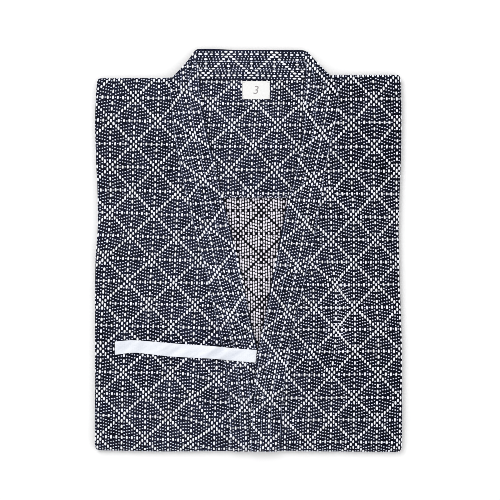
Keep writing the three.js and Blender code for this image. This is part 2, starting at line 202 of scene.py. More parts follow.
class Fold:
    """The cloth's way round a fold: out and down a quarter turn, then tucked back under."""

    def __init__(self, run, fall, tuck, drop, end):
        self.run, self.fall, self.tuck, self.drop = run, fall, tuck, drop
        self.angles = np.linspace(0, end, 90)
        out, down = self.place(self.angles, WALL)
        steps = np.hypot(np.diff(out), np.diff(down))
        self.arcs = np.concatenate([[0], np.cumsum(steps)])
        self.length = float(self.arcs[-1])

    def place(self, angle, offset, extra=0):
        sine, cosine = np.sin(angle), np.cos(angle)
        quarter = angle <= math.pi / 2
        reach = self.run + offset
        fall = self.fall + offset + extra
        out = np.where(quarter, reach * sine, reach - (self.tuck + offset) * (1 - sine))
        down = np.where(quarter, fall * (1 - cosine), fall - (self.drop + offset) * cosine)
        return out, down

    def at(self, arc, offset, extra=0):
        return self.place(np.interp(arc, self.arcs, self.angles), offset, extra)


SIDE_FOLD = Fold(run=SIDE_RUN, fall=2.4, tuck=3.5, drop=1.6, end=2.6)
SHOULDER_FOLD = Fold(run=TOP_RUN, fall=2.6, tuck=4, drop=1.8, end=2.5)
HEM_FOLD = Fold(run=HEM_RUN, fall=9.6, tuck=4, drop=2.6, end=2.5)


def lay(side, x, y, offset=WALL, base=None, shoulder=True):
    """A place on a front: x and y follow the cloth, also round the folds, and offset is the
    height over its underside. base gives another underside, and a piece that runs on past
    the shoulder isn't folded there."""
    sign = SIGN[side]
    past_side = np.maximum(sign * x - SIDE_FLAT, 0)
    past_top = np.maximum(y - TOP_FLAT, 0) if shoulder else np.zeros_like(y)
    past_hem = np.maximum(HEM_FLAT - y, 0)
    past_end = past_top + past_hem
    reach = np.hypot(past_side, past_end)
    whole = np.maximum(reach, 1e-9)
    share = (past_end / whole) ** 2
    flat_x = np.clip(x, -SIDE_FLAT, SIDE_FLAT)
    flat_y = np.maximum(y, HEM_FLAT)
    if shoulder:
        flat_y = np.minimum(flat_y, TOP_FLAT)
    height = front_height(side, flat_x, flat_y) if base is None else base(flat_x, flat_y)
    side_out, side_down = SIDE_FOLD.at(reach, offset)
    top_out, top_down = SHOULDER_FOLD.at(reach, offset)
    hem_out, hem_down = HEM_FOLD.at(reach, offset, height - FRONT_Z)
    end_out = np.where(past_hem > 0, hem_out, top_out)
    end_down = np.where(past_hem > 0, hem_down, top_down)
    out = mix(side_out, end_out, share)
    down = mix(side_down, end_down, share)
    end_way = np.where(past_hem > 0, -1.0, 1.0)
    z = np.maximum(height + offset - down, 0.3 + 0.1 * offset)
    return settle(
        flat_x + sign * out * past_side / whole,
        flat_y + end_way * out * past_end / whole,
        z,
    )


# The collar strips: their slanting folds beside the neck, and how far the folds bow in
NECK = {
    "right": {"end": -126, "corner": -97, "beside": -92, "between": -88, "base": -139,
              "hollow": 0.33, "dip": 0.36},
    "left": {"end": 137, "corner": 105, "beside": 104, "between": 100.5, "base": 149.6,
             "hollow": 0.0, "dip": 0.03},
}
# From here up the strips climb over the one behind the neck, which hangs down at its top
NECK_BEND = 285
NECK_DROP = 7
# Rows of stitches along a strip, as shares of its width, and the rounding of its edges
STITCH_LINES = (0.07, 0.36, 0.66, 0.985)
EDGE_ROUND = 1.5


def neck_under(y):
    """Underside of the strip behind the neck, which hangs lower towards its top."""
    return YOKE_Z + BAND_UNDER - NECK_DROP * eased(y, 318, COLLAR_TOP)


def band_sides(side, y):
    """Free edge and outer edge of the strip down a front."""
    neck = NECK[side]
    above = (y - SHOULDER_Y) / (COLLAR_TOP - SHOULDER_Y)
    free = mix(EDGE[side](np.minimum(y, SHOULDER_Y)), neck["corner"], smooth(above))
    down = 1 - np.clip(above, 0, 1)
    down = down - neck["hollow"] * down * (1 - down)
    slant = mix(neck["corner"], neck["base"], down)
    return free, mix(SEAM[side](y), slant, eased(y, 306, SHOULDER_Y))


def rounded_edge(across, width):
    """A share of the height, which falls off in a round at both edges of a strip."""
    inward = np.minimum(across, 1 - across) * width
    return np.sqrt(np.clip(1 - (1 - np.clip(inward / EDGE_ROUND, 0, 1)) ** 2, 0, 1))


def band_height(across, width):
    """Height of a stuffed strip over its underside: rounded edges, stitched channels."""
    edge = rounded_edge(across, width)
    channel = sum(np.exp(-(((across - line) * width / 2.2) ** 2)) for line in STITCH_LINES)
    sewn = 1 - 0.5 * eased((1 - across) * width, 9, 0)
    return COLLAR * (0.5 + 0.5 * edge) * (1.02 - 0.16 * channel) * sewn


def lay_band(side, x, y, offset):
    """A place on the strip down a front, offset over its underside."""
    def base(flat_x, flat_y):
        low = front_height(side, flat_x, np.minimum(flat_y, TOP_FLAT)) + BAND_UNDER
        over = neck_under(flat_y) + COLLAR + 1.4 * GAP
        ripple = 0.15 * np.sin(flat_y / 17 + flat_x / 23) * np.sin(flat_y / 41)
        return mix(low, over, eased(flat_y, NECK_BEND, NECK_LOW)) + ripple
    return lay(side, x, y, offset, base, shoulder=False)


def lay_neck(x, y, offset):
    """A place on the strip behind the neck, offset over its underside."""
    bow = 0.25 * np.sin(x / 27) * np.sin(y / 9)
    return settle(x, y, neck_under(y) + offset + bow * np.clip(offset, 0, 1))


def lay_yoke(x, y, offset=WALL):
    """A place on the yoke, thicker along its hem."""
    hem = np.exp(-(((y - 101) / 5) ** 2)) * 0.35
    ripple = 0.2 * np.sin(x / 21 + y / 33) * np.sin(y / 27)
    return settle(x, y, YOKE_Z + offset + hem + np.maximum(ripple, -0.1))


def lay_back(x, y, offset=WALL):
    ripple = 0.2 * np.sin(x / 18 + y / 29) * np.sin(y / 23)
    return settle(x, y, BACK_Z + offset + np.maximum(ripple, -0.1))


# Materials

def linear(code):
    """A colour code as linear values."""
    channels = [int(code[i:i + 2], 16) / 255 for i in (0, 2, 4)]
    return tuple(
        c / 12.92 if c <= 0.04045 else ((c + 0.055) / 1.055) ** 2.4 for c in channels
    ) + (1.0,)


def node(tree, kind, values=None, **settings):
    """A shader node's outputs. Values go to its inputs, as numbers or as links."""
    made = tree.nodes.new("ShaderNode" + kind)
    for key, value in settings.items():
        setattr(made, key, value)
    for key, value in (values or {}).items():
        if hasattr(value, "is_output"):
            tree.links.new(value, made.inputs[key])
        else:
            made.inputs[key].default_value = value
    return made.outputs


def maths(tree, operation, *values, **settings):
    return node(tree, "Math", dict(enumerate(values)), operation=operation, **settings)["Value"]


def ranged(tree, value, low, high, to_low=0.0, to_high=1.0):
    return node(tree, "MapRange", {
        "Value": value, "From Min": low, "From Max": high, "To Min": to_low, "To Max": to_high,
    })["Result"]


def noise(tree, place, scale, detail, roughness):
    return node(tree, "TexNoise", {
        "Vector": place, "Scale": scale, "Detail": detail, "Roughness": roughness,
    })


def colour_by(tree, shader, share, dark, light):
    """Colours a shader from dark to light, each a colour or a link."""
    colour = node(tree, "Mix", {0: share, 6: dark, 7: light}, data_type="RGBA")[2]
    tree.links.new(colour, shader.inputs["Base Color"])


def raise_by(tree, shader, height, strength, distance):
    """Adds a relief over any that the shader has."""
    normal = shader.inputs["Normal"]
    values = {"Strength": strength, "Distance": distance, "Height": height}
    if normal.is_linked:
        values["Normal"] = normal.links[0].from_socket
    tree.links.new(node(tree, "Bump", values)["Normal"], normal)


def new_group(name, takes, gives):
    """A node group with its inputs, by kind, and its outputs, which are all numbers."""
    tree = bpy.data.node_groups.new(name, "ShaderNodeTree")
    for socket, kind in takes.items():
        tree.interface.new_socket(socket, in_out="INPUT", socket_type="NodeSocket" + kind)
    for socket in gives:
        tree.interface.new_socket(socket, in_out="OUTPUT", socket_type="NodeSocketFloat")
    came, goes = tree.nodes.new("NodeGroupInput"), tree.nodes.new("NodeGroupOutput")
    return tree, came.outputs, goes.inputs


def thread_group():
    """Plain weave of fine threads on a flat map in metres: its height, and where it is worn."""
    tree, takes, gives = new_group("thread_weave", {"Place": "Vector", "Threads": "Float"},
                                   ["Height", "Worn"])
    place = takes["Place"]
    fuzz = noise(tree, place, 260.0, 2.0, 0.6)
    nudged = node(tree, "VectorMath", {0: fuzz["Color"], 1: (0.0012, 0.0012, 0.0012), 2: place},
                  operation="MULTIPLY_ADD")["Vector"]
    waves = [
        node(tree, "TexWave", {"Vector": nudged, "Scale": takes["Threads"], "Distortion": 0.0},
             wave_type="BANDS", bands_direction=direction, wave_profile="SIN")["Fac"]
        for direction in ("X", "Y")
    ]
    tree.links.new(maths(tree, "MAXIMUM", *waves), gives["Height"])
    broad = noise(tree, place, 22.0, 3.0, 0.6)["Fac"]
    mild = maths(tree, "MULTIPLY_ADD", broad, 0.35, 0.33)
    tree.links.new(maths(tree, "MULTIPLY", fuzz["Fac"], mild), gives["Worn"])
    return tree


THREADS = thread_group()


def painted_crease_shade(tree, place, lift, depth):
    """Slanting greyer bands painted on a tape as the shade of its creases."""
    slanted = node(tree, "Mapping", {
        "Vector": place, "Rotation": (0, 0, -1.0), "Scale": (0.0125, 0.06, 1),
    }, vector_type="TEXTURE")["Vector"]
    bands = noise(tree, slanted, 1.0, 1.5, 0.45)["Fac"]
    dip = ranged(tree, bands, 0.33, 0.6, depth, 0.0)
    return maths(tree, "SUBTRACT", lift, dip, use_clamp=True)


def darker_outward(tree, lift, edge_share):
    """The cloth is darker away from its middle, most on its right."""
    place = node(tree, "TexCoord")["Object"]
    across = node(tree, "SeparateXYZ", {0: place})["X"]
    apart = maths(tree, "ABSOLUTE", maths(tree, "ADD", across, 0.06))
    return maths(tree, "MULTIPLY", lift, ranged(tree, apart, 0.03, 0.34, 1.0, edge_share))


def cloth_material(name, dark, light, roughness, threads=170.0, sheen=0.04, own_map=None,
                   worn=(0.12, 0.42), crease_shade_depth=0.0, edge_share=1.0, gloss=0.1):
    """Cloth of fine threads. own_map names the sheet's flat map, worn gives the range of wear,
    crease_shade_depth how dark the painted shade of creases is, and edge_share how much darker
    the cloth is away from its middle."""
    material = bpy.data.materials.new(name)
    material.use_nodes = True
    tree = material.node_tree
    shader = tree.nodes["Principled BSDF"]
    if own_map:
        place = node(tree, "UVMap", uv_map=own_map)["UV"]
    else:
        place = node(tree, "TexCoord")["Object"]
    weave = node(tree, "Group", {"Place": place, "Threads": threads}, node_tree=THREADS)
    wear = ranged(tree, weave["Worn"], *worn)
    lift = maths(tree, "MULTIPLY", maths(tree, "MULTIPLY_ADD", weave["Height"], 0.45, wear), 0.69)
    # Painted shade of creases: greyer slanting bands darken the colour.
    if crease_shade_depth:
        lift = painted_crease_shade(tree, place, lift, crease_shade_depth)
    # The cloth is made darker away from its middle, most on its right.
    if edge_share < 1:
        lift = darker_outward(tree, lift, edge_share)
    colour_by(tree, shader, lift, linear(dark), linear(light))
    raise_by(tree, shader, weave["Height"], 0.3, 0.0005)
    shader.inputs["Roughness"].default_value = roughness
    shader.inputs["Specular IOR Level"].default_value = gloss
    shader.inputs["Sheen Weight"].default_value = sheen
    shader.inputs["Sheen Roughness"].default_value = 0.6
    return material


# The weave on the underside, in metres
UNDER_COLUMN, UNDER_ROW, UNDER_LOZENGE = 0.00467, 0.0058, 0.083


def woven_group():
    """The floats as a mask on a flat map in metres, for the face that lies on the floor."""
    tree, takes, gives = new_group("woven_floats", {"Place": "Vector"}, ["Mask"])
    calc = partial(maths, tree)
    place = node(tree, "SeparateXYZ", {0: takes["Place"]})
    column = calc("MULTIPLY", place["X"], 1 / UNDER_COLUMN)
    parity = calc("FLOOR", calc("ADD", column, 0.5))
    shift = calc("MULTIPLY", calc("PINGPONG", parity, 2.0), 0.5)
    row = calc("MULTIPLY_ADD", place["Y"], 1 / UNDER_ROW, shift)
    across = calc("PINGPONG", column, 0.5)
    down = calc("PINGPONG", row, 0.5)
    lozenge_x = calc("PINGPONG", column, 9.0)
    lozenge_rows = calc("MULTIPLY", place["Y"], 18 / UNDER_LOZENGE)
    lozenge_y = calc("PINGPONG", lozenge_rows, 9.0)
    apart = calc("ABSOLUTE", calc("SUBTRACT", lozenge_x, lozenge_y))
    on_line = ranged(tree, apart, 0.7, 1.3, 1.0, 0.0)
    wide = calc("MULTIPLY_ADD", on_line, 0.08, 0.3)
    tall = calc("MULTIPLY_ADD", on_line, 0.2, 0.22)
    over = calc("POWER", calc("DIVIDE", across, wide), 2.0)
    along = calc("POWER", calc("DIVIDE", down, tall), 2.0)
    mask = ranged(tree, calc("ADD", over, along), 0.7, 1.2, 1.0, 0.0)
    tree.links.new(mask, gives["Mask"])
    return tree


def woven_material(name, ground, white):
    """A copy of a ground with the floats drawn on it."""
    material = ground.copy()
    material.name = name
    tree = material.node_tree
    shader = tree.nodes["Principled BSDF"]
    place = node(tree, "TexCoord")["Object"]
    mask = node(tree, "Group", {"Place": place}, node_tree=woven_group())["Mask"]
    ground_colour = shader.inputs["Base Color"].links[0].from_socket
    colour_by(tree, shader, mask, ground_colour, linear(white))
    raise_by(tree, shader, mask, 0.8, 0.0008)
    return material


INDIGO = cloth_material("indigo_ground", "000104", "2c3045", 0.9, own_map="cloth", sheen=0.01,
                        worn=(0.228, 0.3), edge_share=0.35, gloss=0.02)
PILE_INDIGO = cloth_material("indigo_folds", "000104", "2c3045", 0.9, sheen=0.01,
                             worn=(0.228, 0.3), gloss=0.02)
PILE_UNDER = woven_material("indigo_under", PILE_INDIGO, "e9ecf8")
REVERSE_GROUND = cloth_material("reverse_ground", "020206", "0f101a", 0.9, own_map="cloth")
FLOAT_WHITE = cloth_material("white_floats", "e9ecf8", "fcfdff", 0.8, threads=420.0)
DOT_WHITE = cloth_material("white_dots", "d7dcf2", "f4f6ff", 0.8, threads=420.0)
BEAD_WHITE = cloth_material("white_beads", "e6e1f0", "fcf9ff", 0.8, threads=420.0)
# The tape carries painted shade of its creases, in greyer slanting bands.
TAPE = cloth_material("white_tape", "bfc5d2", "f0f3f9", 0.75, threads=260.0, own_map="cloth",
                      worn=(-0.4, 0.25), crease_shade_depth=0.42)
LABEL = cloth_material("white_label", "e4e4e3", "f0f0ef", 0.6, threads=420.0, own_map="cloth")
THREAD = cloth_material("pale_thread", "8f97b4", "c3cbe0", 0.8, threads=420.0)
MARK = cloth_material("grey_thread", "8a8688", "a9a5a6", 0.8, threads=420.0)


# Meshes

def deselect():
    if bpy.context.object and bpy.context.object.mode != "OBJECT":
        bpy.ops.object.mode_set(mode="OBJECT")
    bpy.ops.object.select_all(action="DESELECT")


def select_only(piece):
    deselect()
    bpy.context.view_layer.objects.active = piece
    piece.select_set(True)


def corners_of(mesh):
    corners = np.empty(len(mesh.vertices) * 3)
    mesh.vertices.foreach_get("co", corners)
    return corners.reshape(-1, 3)


def new_grid(name, columns, rows):
    """A grid primitive, with each corner's column and row."""
    deselect()
    bpy.ops.mesh.primitive_grid_add(x_subdivisions=columns, y_subdivisions=rows, size=2)
    piece = bpy.context.object
    piece.name = piece.data.name = name
    corners = corners_of(piece.data)
    column = np.rint((corners[:, 0] + 1) / 2 * columns).astype(int)
    row = np.rint((corners[:, 1] + 1) / 2 * rows).astype(int)
    return piece, column, row


def fill(piece, points):
    piece.data.vertices.foreach_set("co", (points * 0.001).ravel())
    piece.data.update()


def shade(piece, *materials):
    select_only(piece)
    piece.data.materials.clear()
    for material in materials:
        piece.data.materials.append(material)
    bpy.ops.object.shade_smooth_by_angle(angle=math.radians(60))


def finish(piece, slot, *nodes):
    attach(piece, "root")
    for name in nodes:
        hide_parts(name)


def loops_of(mesh):
    """Each loop's corner and face, and the number of faces."""
    vertex = np.empty(len(mesh.loops), dtype=np.int32)
    mesh.loops.foreach_get("vertex_index", vertex)
    total = np.empty(len(mesh.polygons), dtype=np.int32)
    mesh.polygons.foreach_get("loop_total", total)
    face = np.repeat(np.arange(len(total)), total)
    return vertex, face, len(total)


def add_map(mesh, name, places):
    layer = mesh.uv_layers.get(name) or mesh.uv_layers.new(name=name)
    layer.data.foreach_set("uv", np.ascontiguousarray(places, dtype=np.float32).ravel())


# The map for baking: the size of each side of a cloth, the gap round it, the second's start
BAKE_SIZE, BAKE_GAP, BAKE_SECOND = 0.47, 0.015, 0.515


def sheet_maps(piece, flat):
    """The cloth's own map in metres, and a map with its two sides apart for baking."""
    mesh = piece.data
    count = len(flat)
    vertex, face, faces = loops_of(mesh)
    under = vertex >= count
    place = flat[vertex % count]
    add_map(mesh, "cloth", place * 0.001)
    low, high = flat.min(axis=0), flat.max(axis=0)
    scale = BAKE_SIZE / max(high - low)
    unit = (place - low) * scale
    middle = (high - low) * scale / 2
    inner_share = np.bincount(face, weights=under, minlength=faces)
    sides = np.bincount(face, minlength=faces)
    all_under = (inner_share == sides)[face]
    rim = ((inner_share > 0) & (inner_share < sides))[face]
    unit = np.where((rim & under)[:, None], middle + (unit - middle) * 1.02, unit)
    unit[:, 0] += np.where(all_under, BAKE_SECOND, BAKE_GAP)
    unit[:, 1] += BAKE_GAP
    add_map(mesh, "OFBake", unit)
    mesh.uv_layers["OFBake"].active = True


def spaced(*runs):
    """Places along a line from (start, end, step) runs that join."""
    places = [runs[0][0]]
    for start, end, step in runs:
        count = max(1, round(abs(end - start) / step))
        places.extend(start + (end - start) * (k + 1) / count for k in range(count))
    return np.array(places)


def thin_cloth(piece, points, flat, wall, material):
    """Lays a grid on its points, then gives it a wall below them, its maps and material."""
    fill(piece, points)
    select_only(piece)
    modifier = piece.modifiers.new("wall", "SOLIDIFY")
    modifier.thickness = wall * 0.001
    modifier.offset = -1
    bpy.ops.object.modifier_apply(modifier=modifier.name)
    sheet_maps(piece, flat)
    shade(piece, material)


def cloth_sheet(name, xs, ys, surface, material, slot="indigo_cloth"):
    """A panel for a CAD node, with its flat size and area. xs(y) gives a row's places."""
    columns = len(xs(0.0)) - 1
    piece, column, row = new_grid(f"{name}_cloth", columns, len(ys) - 1)
    table = np.array([xs(y) for y in ys])
    x, y = table[row, column], ys[row]
    thin_cloth(piece, surface(x, y), np.stack([x, y], axis=-1), WALL, material)
    finish(piece, slot, name)
    widths = np.ptp(table, axis=1)
    area = float(np.sum(np.diff(ys) * (widths[1:] + widths[:-1]) / 2))
    return piece, (float(np.ptp(table)), float(np.ptp(ys))), area


def closed_strip(name, around, along, surface, *materials):
    """A closed strip. surface(column, row) gives its places, and its flat map or None."""
    piece, column, row = new_grid(name, around, along)
    points, flat = surface(column, row)
    fill(piece, points)
    if flat is not None:
        sheet_maps(piece, flat)
    select_only(piece)
    bpy.ops.object.mode_set(mode="EDIT")
    bpy.ops.mesh.select_all(action="SELECT")
    bpy.ops.mesh.remove_doubles(threshold=0.000005)
    bpy.ops.object.mode_set(mode="OBJECT")
    work = bmesh.new()
    work.from_mesh(piece.data)
    open_edges = [edge for edge in work.edges if edge.is_boundary]
    ends = bmesh.ops.holes_fill(work, edges=open_edges, sides=0)["faces"]
    bmesh.ops.triangulate(work, faces=ends)
    bmesh.ops.recalc_face_normals(work, faces=work.faces)
    work.to_mesh(piece.data)
    work.free()
    shade(piece, *materials)
    return piece


# One float of the weave, modelled once: a flattened dome, rounder or squarer at its ends

def dome(sides, squareness):
    deselect()
    bpy.ops.mesh.primitive_uv_sphere_add(segments=sides, ring_count=4, radius=1)
    pattern = bpy.context.object
    bpy.ops.object.mode_set(mode="EDIT")
    bpy.ops.mesh.select_all(action="SELECT")
    bpy.ops.mesh.bisect(plane_co=(0, 0, -0.01), plane_no=(0, 0, 1), clear_inner=True)
    bpy.ops.mesh.select_all(action="SELECT")
    bpy.ops.mesh.quads_convert_to_tris()
    bpy.ops.object.mode_set(mode="OBJECT")
    mesh = pattern.data
    points = corners_of(mesh)
    plane = np.sign(points[:, :2]) * np.abs(points[:, :2]) ** squareness
    points = np.column_stack([plane, np.maximum(points[:, 2], 0)])
    faces = np.empty(len(mesh.polygons) * 3, dtype=np.int32)
    mesh.polygons.foreach_get("vertices", faces)
    bpy.data.objects.remove(pattern)
    return points, faces.reshape(-1, 3)


BAR = dome(8, 0.72)
DOT = dome(6, 0.9)


def joined_floats(name, slot, groups, surface, *materials):
    """Many floats as one mesh. Each group is (pattern, places, sizes), one for each material,
    with places x, y, turn and sizes half width, half length, height, base."""
    positions, triangles, maps, shades = [], [], [], []
    first = 0
    for index, ((points, faces), places, sizes) in enumerate(groups):
        count = len(places)
        x, y, turn = places.T[:, :, None]
        half_width, half_length, height, base = sizes.T[:, :, None]
        across = points[None, :, 0] * half_width
        down = points[None, :, 1] * half_length
        flat_x = x + across * np.cos(turn) - down * np.sin(turn)
        flat_y = y + across * np.sin(turn) + down * np.cos(turn)
        rise = base + points[None, :, 2] * height
        positions.append(surface(flat_x, flat_y, rise).reshape(-1, 3))
        maps.append(np.stack([flat_x, flat_y], axis=-1).reshape(-1, 2))
        step = np.arange(count)[:, None, None] * len(points)
        triangles.append((faces[None] + step).reshape(-1, 3) + first)
        shades.append(np.full(count * len(faces), index, dtype=np.int32))
        first += count * len(points)
    positions = np.concatenate(positions)
    triangles = np.concatenate(triangles)
    mesh = bpy.data.meshes.new(name)
    mesh.vertices.add(len(positions))
    mesh.vertices.foreach_set("co", (positions * 0.001).ravel())
    mesh.loops.add(triangles.size)
    mesh.loops.foreach_set("vertex_index", triangles.ravel())
    mesh.polygons.add(len(triangles))
    mesh.polygons.foreach_set("loop_start", np.arange(len(triangles)) * 3)
    mesh.polygons.foreach_set("material_index", np.concatenate(shades))
    mesh.update(calc_edges=True)
    unit = np.concatenate(maps)[triangles.ravel()]
    low = unit.min(axis=0)
    add_map(mesh, "OFBake", 0.01 + 0.98 * (unit - low) / max(unit.max(axis=0) - low))
    for material in materials:
        mesh.materials.append(material)
    mesh.validate()
    piece = bpy.data.objects.new(name, mesh)
    bpy.context.scene.collection.objects.link(piece)
    select_only(piece)
    bpy.ops.object.shade_smooth()
    finish(piece, slot)
    return piece


# The rice stitch: a lattice of 18 columns by 16 rows, its lozenges drawn in long floats and
# filled with short ones

REPEAT_COLUMNS, REPEAT_ROWS = 18, 16
# For each column out from a lozenge's upright diagonal, the rows of its long and short floats
WEAVE_CHART = [
    ((0, 2, 4, 6, 8), ()),
    ((0.9,), (2.35, 3.5, 4.65, 5.8, 6.95, 8)),
    ((1.8, 8), (0, 3.3, 4.4, 5.5, 6.65)),
    ((0, 2.7), (1.4, 4.25, 5.3, 6.4, 8)),
    ((3.55, 8), (0, 0.95, 1.95, 5.1, 6.2)),
]


def column_floats(column):
    """Rows and kinds of the floats in one column: 1 a bar, 0 a dot."""
    fold = column % REPEAT_COLUMNS
    fold = min(fold, REPEAT_COLUMNS - fold)
    bars, dots = WEAVE_CHART[min(fold, 9 - fold)]
    floats = set()
    for kind, rows in ((1, bars), (0, dots)):
        for row in rows:
            row = row if fold < 5 else 8 - row
            floats |= {(round(row % REPEAT_ROWS, 3), kind), (round(-row % REPEAT_ROWS, 3), kind)}
    return sorted(floats)


COLUMN_FLOATS = [column_floats(column) for column in range(REPEAT_COLUMNS)]


# Rows that a dot and a bar of the face hide of the beads beside them
FLOAT_MARGIN = (0.04, 0.4)


def reverse_floats(column):
    """Beads between the face's floats, as middle row and half length in rows. A bead passes
    over each row that joins the lozenges' tips."""
    face = []
    for row, kind in COLUMN_FLOATS[column]:
        joins_tips = not kind and row % 8 == 0
        for step in (-0.55, 0.55) if joins_tips else (0,):
            face.append(((row + step) % REPEAT_ROWS, kind))
    face.sort()
    beads = []
    for (row, kind), (following, next_kind) in zip(face, face[1:] + [face[0]]):
        if following <= row:
            following += REPEAT_ROWS
        start = row + FLOAT_MARGIN[kind]
        end = following - FLOAT_MARGIN[next_kind]
        beads.append(((start + end) / 2 % REPEAT_ROWS, (end - start) / 2))
    return sorted(beads)


REVERSE_FLOATS = [reverse_floats(column) for column in range(REPEAT_COLUMNS)]


def lattice(first_row, nodes, column_step, tuck=None):
    """The cloth's columns and rows to x and y, from nodes one repeat apart down a column,
    with the small waves of a real weave."""
    node_x, node_y = np.transpose(nodes)
    rows = first_row + REPEAT_ROWS * np.arange(len(nodes))

    def place(column, row):
        x = np.interp(row, rows, node_x) + column * column_step[0]
        y = np.interp(row, rows, node_y) + column * column_step[1]
        x = x + 0.45 * np.sin(y / 31 + column / 11) + 0.25 * np.sin(y / 9.7 + column / 3.1)
        y = y + 0.5 * np.sin(x / 29 + row / 13) + 0.25 * np.sin(x / 8.3 + row / 2.7)
        return tuck(x, y) if tuck else (x, y)

    return place


def left_tuck(x, y):
    """A small tuck in the left front takes up cloth beside the crease."""
    strong = np.exp(-(((y + 110) / 85) ** 4))
    return x + 8 * strong * eased(x, 190, 146), y


def right_pull(x, y):
    """The right front hangs lower towards its seam, below the tie."""
    below = eased(y, -130, -210)
    beside = eased(x, -125, -60)
    drop = 3.9 + (8 + 0.083 * np.maximum(-237 - y, 0)) * beside
    return x + 2.4 * below, y - drop * below


# Each lattice: its first row, (x, y) of its nodes, and the step from a column to the next
LATTICES = {
    "front_right": lattice(-32, [
        (-200, 455), (-203.5, 369), (-207, 282.6), (-210.9, 196.6), (-213.3, 110.5), (-217.5, 27),
        (-221.9, -56.3), (-226.9, -137.7), (-231.1, -219.4), (-233.9, -300.3), (-235.7, -381.2),
        (-237, -462),
    ], (4.71, -0.13), right_pull),
    "front_left": lattice(-48, [
        (189, 490), (189, 404), (189, 317.5), (189, 233), (189.6, 146.5), (193.6, 62),
        (194.5, -20.8), (195.4, -104.4), (196.4, -185.3), (194.5, -270.1), (192.7, -351.7),
        (190.9, -433), (189, -515),
    ], (4.62, 0.02), left_tuck),
    "yoke": lattice(-16, [
        (18, 350.6), (14.2, 270.7), (8.8, 191.5), (4.6, 105.6), (1.5, 24),
    ], (4.67, 0)),
    "reverse": lattice(-16, [
        (23.2, 159.3), (23.5, 74.1), (24.1, -11.8), (25, -94.6), (25.4, -177.6), (25.6, -260.4),
    ], (4.74, 0)),
    "band_right": lattice(-32, [
        (-124, 460), (-121, 378), (-118, 295.5), (-101.5, 212.7), (-83.1, 131.8), (-73.9, 43.6),
        (-57.4, -39.2), (-33.5, -118.2), (-15, -201), (-7, -284), (-4, -366), (-4, -448),
    ], (4.55, 0.3)),
    "band_left": lattice(-48, [
        (162, 468), (159.6, 383.7), (152.2, 299.2), (135.7, 216.4), (119.1, 131.8), (104.4, 52.8),
        (91.6, -28.1), (71.3, -112.7), (54.8, -193.6), (40.1, -270.8), (36.4, -353.6),
        (34.6, -436), (33, -518),
    ], (4.6, -0.3)),
}

FLOAT_SIZES = np.array([  # half width, half length, height
    (1.54, 1.24, 0.5),
    (1.88, 3.5, 0.75),
])
FLOAT_SINK = 0.12
BEAD_HALF_WIDTH, BEAD_HEIGHT = 1.88, 0.5
ROW_LENGTH = 5.2


def lattice_floats(place, keep, columns, rows, rng, reverse=False):
    """All the floats of a panel that keep(x, y) lets through: x, y, turn, kind, half length."""
    if reverse:
        repeat = [[(row, 1, half) for row, half in beads] for beads in REVERSE_FLOATS]
    else:
        repeat = [[(row, kind, 0) for row, kind in floats] for floats in COLUMN_FLOATS]
    table = np.array([
        (column, block + row, kind, half)
        for column in range(*columns)
        for block in range(*rows, REPEAT_ROWS)
        for row, kind, half in repeat[column % REPEAT_COLUMNS]
    ])
    x, y = place(table[:, 0], table[:, 1])
    ahead_x, ahead_y = place(table[:, 0], table[:, 1] - 0.5)
    turn = np.arctan2(-(ahead_x - x), ahead_y - y)
    count = len(table)
    x = x + rng.normal(0, 0.16, count)
    y = y + rng.normal(0, 0.2, count)
    turn = turn + rng.normal(0, 0.06, count)
    kept = keep(x, y)
    return np.column_stack([x, y, turn, table[:, 2], table[:, 3]])[kept]


def sheet_top(x, y):
    """Height of a single sheet's face over its underside."""
    return np.full_like(x, WALL)


def woven_floats(name, place, keep, surface, ground, columns, rows, seed):
    """The weave's floats on a panel, each a little different in place and size. columns and
    rows bound the part of the lattice that keep picks from."""
    rng = np.random.default_rng(seed)
    floats = lattice_floats(place, keep, columns, rows, rng)
    kinds = floats[:, 3].astype(int)
    uneven = 1 + rng.normal(0, 0.08, (len(floats), 3))
    sizes = FLOAT_SIZES[kinds] * np.clip(uneven, 0.75, 1.2)
    sizes[:, 2] += FLOAT_SINK
    sizes = np.column_stack([sizes, ground(floats[:, 0], floats[:, 1]) - FLOAT_SINK])
    groups = [
        (pattern, floats[kinds == kind, :3], sizes[kinds == kind])
        for pattern, kind in ((BAR, 1), (DOT, 0))
    ]
    return joined_floats(f"{name}_floats", "indigo_cloth", groups, surface,
                         FLOAT_WHITE, DOT_WHITE)


# The two fronts, which start this far under the collar's free edge, and how far their floats
# stay from the ends of the cloth
UNDER_COLLAR, FLOAT_CLEAR = 3, 2.5


def front_panel(side, seed):
    name, sign = f"front_{side}", SIGN[side]
    end_x = SIDE_FLAT + SIDE_FOLD.length
    ys = spaced(
        (HEM_FLAT - HEM_FOLD.length, HEM_FLAT, 1.6), (HEM_FLAT, TOP_FLAT, 4.4),
        (TOP_FLAT, TOP_FLAT + SHOULDER_FOLD.length, 1.3),
    )
    surface = partial(lay, side)

    def xs(y):
        edge = float(EDGE[side](y)) + sign * UNDER_COLLAR
        flat = np.linspace(edge, sign * SIDE_FLAT, 44)
        fold = np.linspace(sign * SIDE_FLAT, sign * end_x, 11)[1:]
        row = np.concatenate([flat, fold])
        return row if sign > 0 else row[::-1]

    def keep(x, y):
        outward = sign * (x - SEAM[side](y)) > -0.6
        inside = (y > ys[0] + FLOAT_CLEAR) & (y < ys[-1] - FLOAT_CLEAR)
        return outward & inside & (sign * x < end_x - FLOAT_CLEAR)

    panel, size, area = cloth_sheet(name, xs, ys, surface, INDIGO)
    floats = woven_floats(name, LATTICES[name], keep, surface, sheet_top,
                          (-80, 80), (-64, 160), seed)
    return panel, size, area * 1e-6, [floats]


